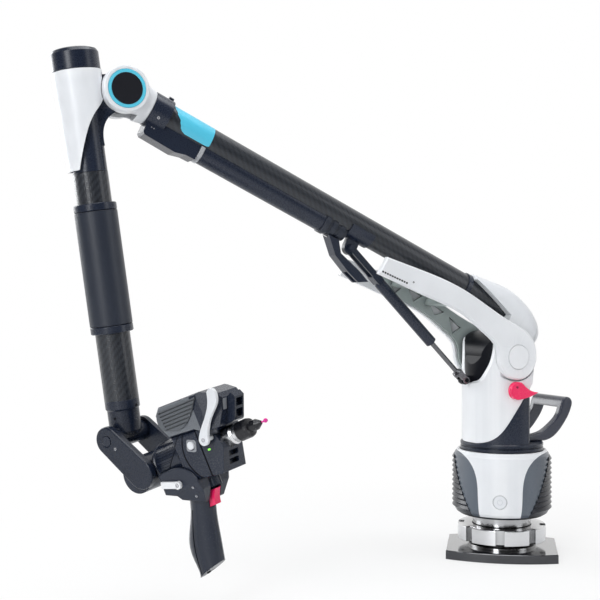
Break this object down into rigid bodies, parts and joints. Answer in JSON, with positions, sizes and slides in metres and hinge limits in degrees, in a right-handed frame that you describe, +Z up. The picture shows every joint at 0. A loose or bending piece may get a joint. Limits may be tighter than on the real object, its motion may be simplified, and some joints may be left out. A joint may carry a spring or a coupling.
{
  "type": "coordinate measuring machine",
  "caption": "Portable articulated measuring arm on a bolted base, with a sprung upper arm, rolling forearm and a scanner probe head with a pistol grip.",
  "frame": {"origin": "centre of the base plate's underside, on the swivel axis", "axes": "+Z up along the swivel axis, the arm lies in the XZ plane and reaches towards -X, the near side is -Y"},
  "size_m": [0.7265, 0.2616, 0.6461],
  "materials": {
    "base_plate": "satin black paint",
    "mount_flange": "turned, bright",
    "ring_nut": "polished",
    "base_core": "dark anodised",
    "swivel_bearings": "ground",
    "base_front_panel": "satin gloss",
    "base_rear_panel": "satin gloss",
    "base_cheeks": "fine texture",
    "left_battery": "fine texture",
    "right_battery": "fine texture",
    "power_button": "satin",
    "swivel_collar": "black anodised",
    "column_core": "dark anodised",
    "column_shell": "satin gloss",
    "column_rear_cover": "satin",
    "carry_handle": "fine texture",
    "shoulder_axle": "ground",
    "lock_lever": "satin",
    "fork_casting": "as cast, painted",
    "fork_near_cover": "satin gloss",
    "fork_far_cover": "satin gloss",
    "pivot_caps": "satin gloss",
    "arm_bearings": "ground",
    "arm_rear_cap": "satin gloss",
    "main_tube": "woven carbon under clear coat",
    "tube_clip_ring": "satin",
    "under_tube": "satin",
    "under_tube_boot": "matt",
    "elbow_collar": "satin",
    "collar_block": "satin",
    "spring_bracket": "satin black",
    "dock_hook": "satin",
    "gas_rod": "ground",
    "gas_cylinder": "satin black",
    "elbow_housing": "satin gloss",
    "elbow_badge": "satin",
    "elbow_axle": "ground",
    "elbow_knuckle": "satin",
    "forearm_cone": "satin gloss",
    "forearm_cap": "satin",
    "forearm_inner_tube": "satin",
    "forearm_tube": "woven carbon under clear coat",
    "sleeve_collars": "satin anodised",
    "grip_sleeve": "fine texture",
    "wrist_knuckle": "black anodised",
    "wrist_yoke": "satin gloss",
    "wrist_pins": "black",
    "head_barrel": "satin",
    "head_body": "satin",
    "scanner_housing": "satin",
    "scanner_side_panels": "satin",
    "scanner_cameras": "satin",
    "probe_holder": "turned",
    "probe": "satin, ruby tip",
    "pistol_grip": "soft touch",
    "trigger": "satin",
    "head_button": "satin",
    "scanner_lever": "satin gloss",
    "grip_lever": "satin",
    "grip_knob": "knurled"
  },
  "bodies": {
    "base": {"base_plate": "base_plate", "mount_flange": "mount_flange", "base_core": "base_core", "swivel_bearings": "swivel_bearings", "base_front_panel": "base_front_panel", "base_rear_panel": "base_rear_panel", "base_cheeks": "base_cheeks"},
    "clamp_ring": {"ring_nut": "ring_nut"},
    "left_battery": {"left_battery": "left_battery"},
    "right_battery": {"right_battery": "right_battery"},
    "power_button": {"power_button": "power_button"},
    "column": {"swivel_collar": "swivel_collar", "column_core": "column_core", "column_shell": "column_shell", "column_rear_cover": "column_rear_cover", "carry_handle": "carry_handle", "shoulder_axle": "shoulder_axle"},
    "lock_lever": {"lock_lever": "lock_lever"},
    "upper_arm": {"fork_casting": "fork_casting", "fork_near_cover": "fork_near_cover", "fork_far_cover": "fork_far_cover", "pivot_caps": "pivot_caps", "arm_bearings": "arm_bearings", "arm_rear_cap": "arm_rear_cap", "main_tube": "main_tube", "tube_clip_ring": "tube_clip_ring", "under_tube": "under_tube", "under_tube_boot": "under_tube_boot", "elbow_collar": "elbow_collar", "collar_block": "collar_block", "spring_bracket": "spring_bracket", "dock_hook": "dock_hook"},
    "gas_rod": {"gas_rod": "gas_rod"},
    "gas_cylinder": {"gas_cylinder": "gas_cylinder"},
    "elbow": {"elbow_housing": "elbow_housing", "elbow_badge": "elbow_badge", "elbow_axle": "elbow_axle"},
    "forearm_head": {"elbow_knuckle": "elbow_knuckle", "forearm_cone": "forearm_cone", "forearm_cap": "forearm_cap", "forearm_inner_tube": "forearm_inner_tube"},
    "forearm": {"forearm_tube": "forearm_tube", "sleeve_collars": "sleeve_collars", "wrist_knuckle": "wrist_knuckle"},
    "grip_sleeve": {"grip_sleeve": "grip_sleeve"},
    "wrist": {"wrist_yoke": "wrist_yoke", "wrist_pins": "wrist_pins"},
    "probe_head": {"head_barrel": "head_barrel", "head_body": "head_body", "scanner_housing": "scanner_housing", "scanner_side_panels": "scanner_side_panels", "scanner_cameras": "scanner_cameras", "probe_holder": "probe_holder", "probe": "probe", "pistol_grip": "pistol_grip"},
    "trigger": {"trigger": "trigger"},
    "head_button": {"head_button": "head_button"},
    "scanner_lever": {"scanner_lever": "scanner_lever"},
    "grip_lever": {"grip_lever": "grip_lever"},
    "grip_knob": {"grip_knob": "grip_knob"}
  },
  "joints": [
    {"name": "ring_turn", "type": "hinge", "parent": "base", "child": "clamp_ring", "pos_m": [0, 0, 0.032], "axis": [0, 0, 1], "continuous": true},
    {"name": "left_battery_slide", "type": "slide", "parent": "base", "child": "left_battery", "axis": [-0.788, 0.6157, 0], "range_m": [0, 0.04]},
    {"name": "right_battery_slide", "type": "slide", "parent": "base", "child": "right_battery", "axis": [0.788, -0.6157, 0], "range_m": [0, 0.04]},
    {"name": "power_press", "type": "slide", "parent": "base", "child": "power_button", "axis": [0.6157, 0.788, 0], "range_m": [0, 0.0012], "stiffness_N_per_m": 900},
    {"name": "base_swivel", "type": "hinge", "parent": "base", "child": "column", "pos_m": [0, 0, 0.15], "axis": [0, 0, 1], "continuous": true},
    {"name": "lock_lever_turn", "type": "hinge", "parent": "column", "child": "lock_lever", "pos_m": [-0.0175, -0.055, 0.2315], "axis": [0, 1, 0], "range_deg": [0, 40]},
    {"name": "shoulder", "type": "hinge", "parent": "column", "child": "upper_arm", "pos_m": [-0.0134, 0, 0.2765], "axis": [0, 1, 0], "range_deg": [-15, 45]},
    {"name": "gas_rod_hinge", "type": "hinge", "parent": "column", "child": "gas_rod", "pos_m": [-0.063, 0, 0.2435], "axis": [0, 1, 0], "range_deg": [-16.5, 46]},
    {"name": "gas_slide", "type": "slide", "parent": "gas_rod", "child": "gas_cylinder", "axis": [-0.7093, 0, 0.7049], "range_m": [-0.0175, 0.0475]},
    {"name": "elbow_roll", "type": "hinge", "parent": "upper_arm", "child": "elbow", "pos_m": [-0.54714, 0, 0.59839], "axis": [0.9048, 0, -0.4258], "continuous": true},
    {"name": "elbow_bend", "type": "hinge", "parent": "elbow", "child": "forearm_head", "pos_m": [-0.54714, 0, 0.59839], "axis": [0, 1, 0], "range_deg": [-25, 110]},
    {"name": "forearm_roll", "type": "hinge", "parent": "forearm_head", "child": "forearm", "pos_m": [-0.59586, 0, 0.59151], "axis": [0.1399, 0, -0.9902], "continuous": true},
    {"name": "sleeve_turn", "type": "hinge", "parent": "forearm", "child": "grip_sleeve", "pos_m": [-0.56747, 0, 0.39051], "axis": [0.1399, 0, -0.9902], "continuous": true},
    {"name": "wrist_bend", "type": "hinge", "parent": "forearm", "child": "wrist", "pos_m": [-0.53973, 0, 0.19415], "axis": [-0.8429, -0.5247, -0.1191], "range_deg": [-105, 30]},
    {"name": "probe_roll", "type": "hinge", "parent": "wrist", "child": "probe_head", "pos_m": [-0.51697, -0.02767, 0.15495], "axis": [0.4489, -0.8077, 0.3822], "range_deg": [-140, 140]},
    {"name": "trigger_pull", "type": "slide", "parent": "probe_head", "child": "trigger", "axis": [-0.4489, 0.8077, -0.3822], "range_m": [0, 0.004], "stiffness_N_per_m": 600},
    {"name": "button_press", "type": "slide", "parent": "probe_head", "child": "head_button", "axis": [0.8429, 0.5247, 0.1191], "range_m": [0, 0.0015], "stiffness_N_per_m": 800},
    {"name": "scanner_lever_turn", "type": "hinge", "parent": "probe_head", "child": "scanner_lever", "pos_m": [-0.4917, -0.13606, 0.20179], "axis": [-0.8429, -0.5247, -0.1191], "range_deg": [0, 35]},
    {"name": "grip_lever_turn", "type": "hinge", "parent": "probe_head", "child": "grip_lever", "pos_m": [-0.50331, -0.09383, 0.14822], "axis": [-0.8429, -0.5247, -0.1191], "range_deg": [0, 40]},
    {"name": "knob_turn", "type": "hinge", "parent": "probe_head", "child": "grip_knob", "pos_m": [-0.47141, -0.10142, 0.1575], "axis": [-0.2967, 0.2687, 0.9164], "continuous": true}
  ],
  "couplings": [
    {"joint": "gas_rod_hinge", "follows": "shoulder", "ratio": 0.9845},
    {"joint": "gas_slide", "follows": "shoulder", "m_per_rad": 0.0582}
  ]
}
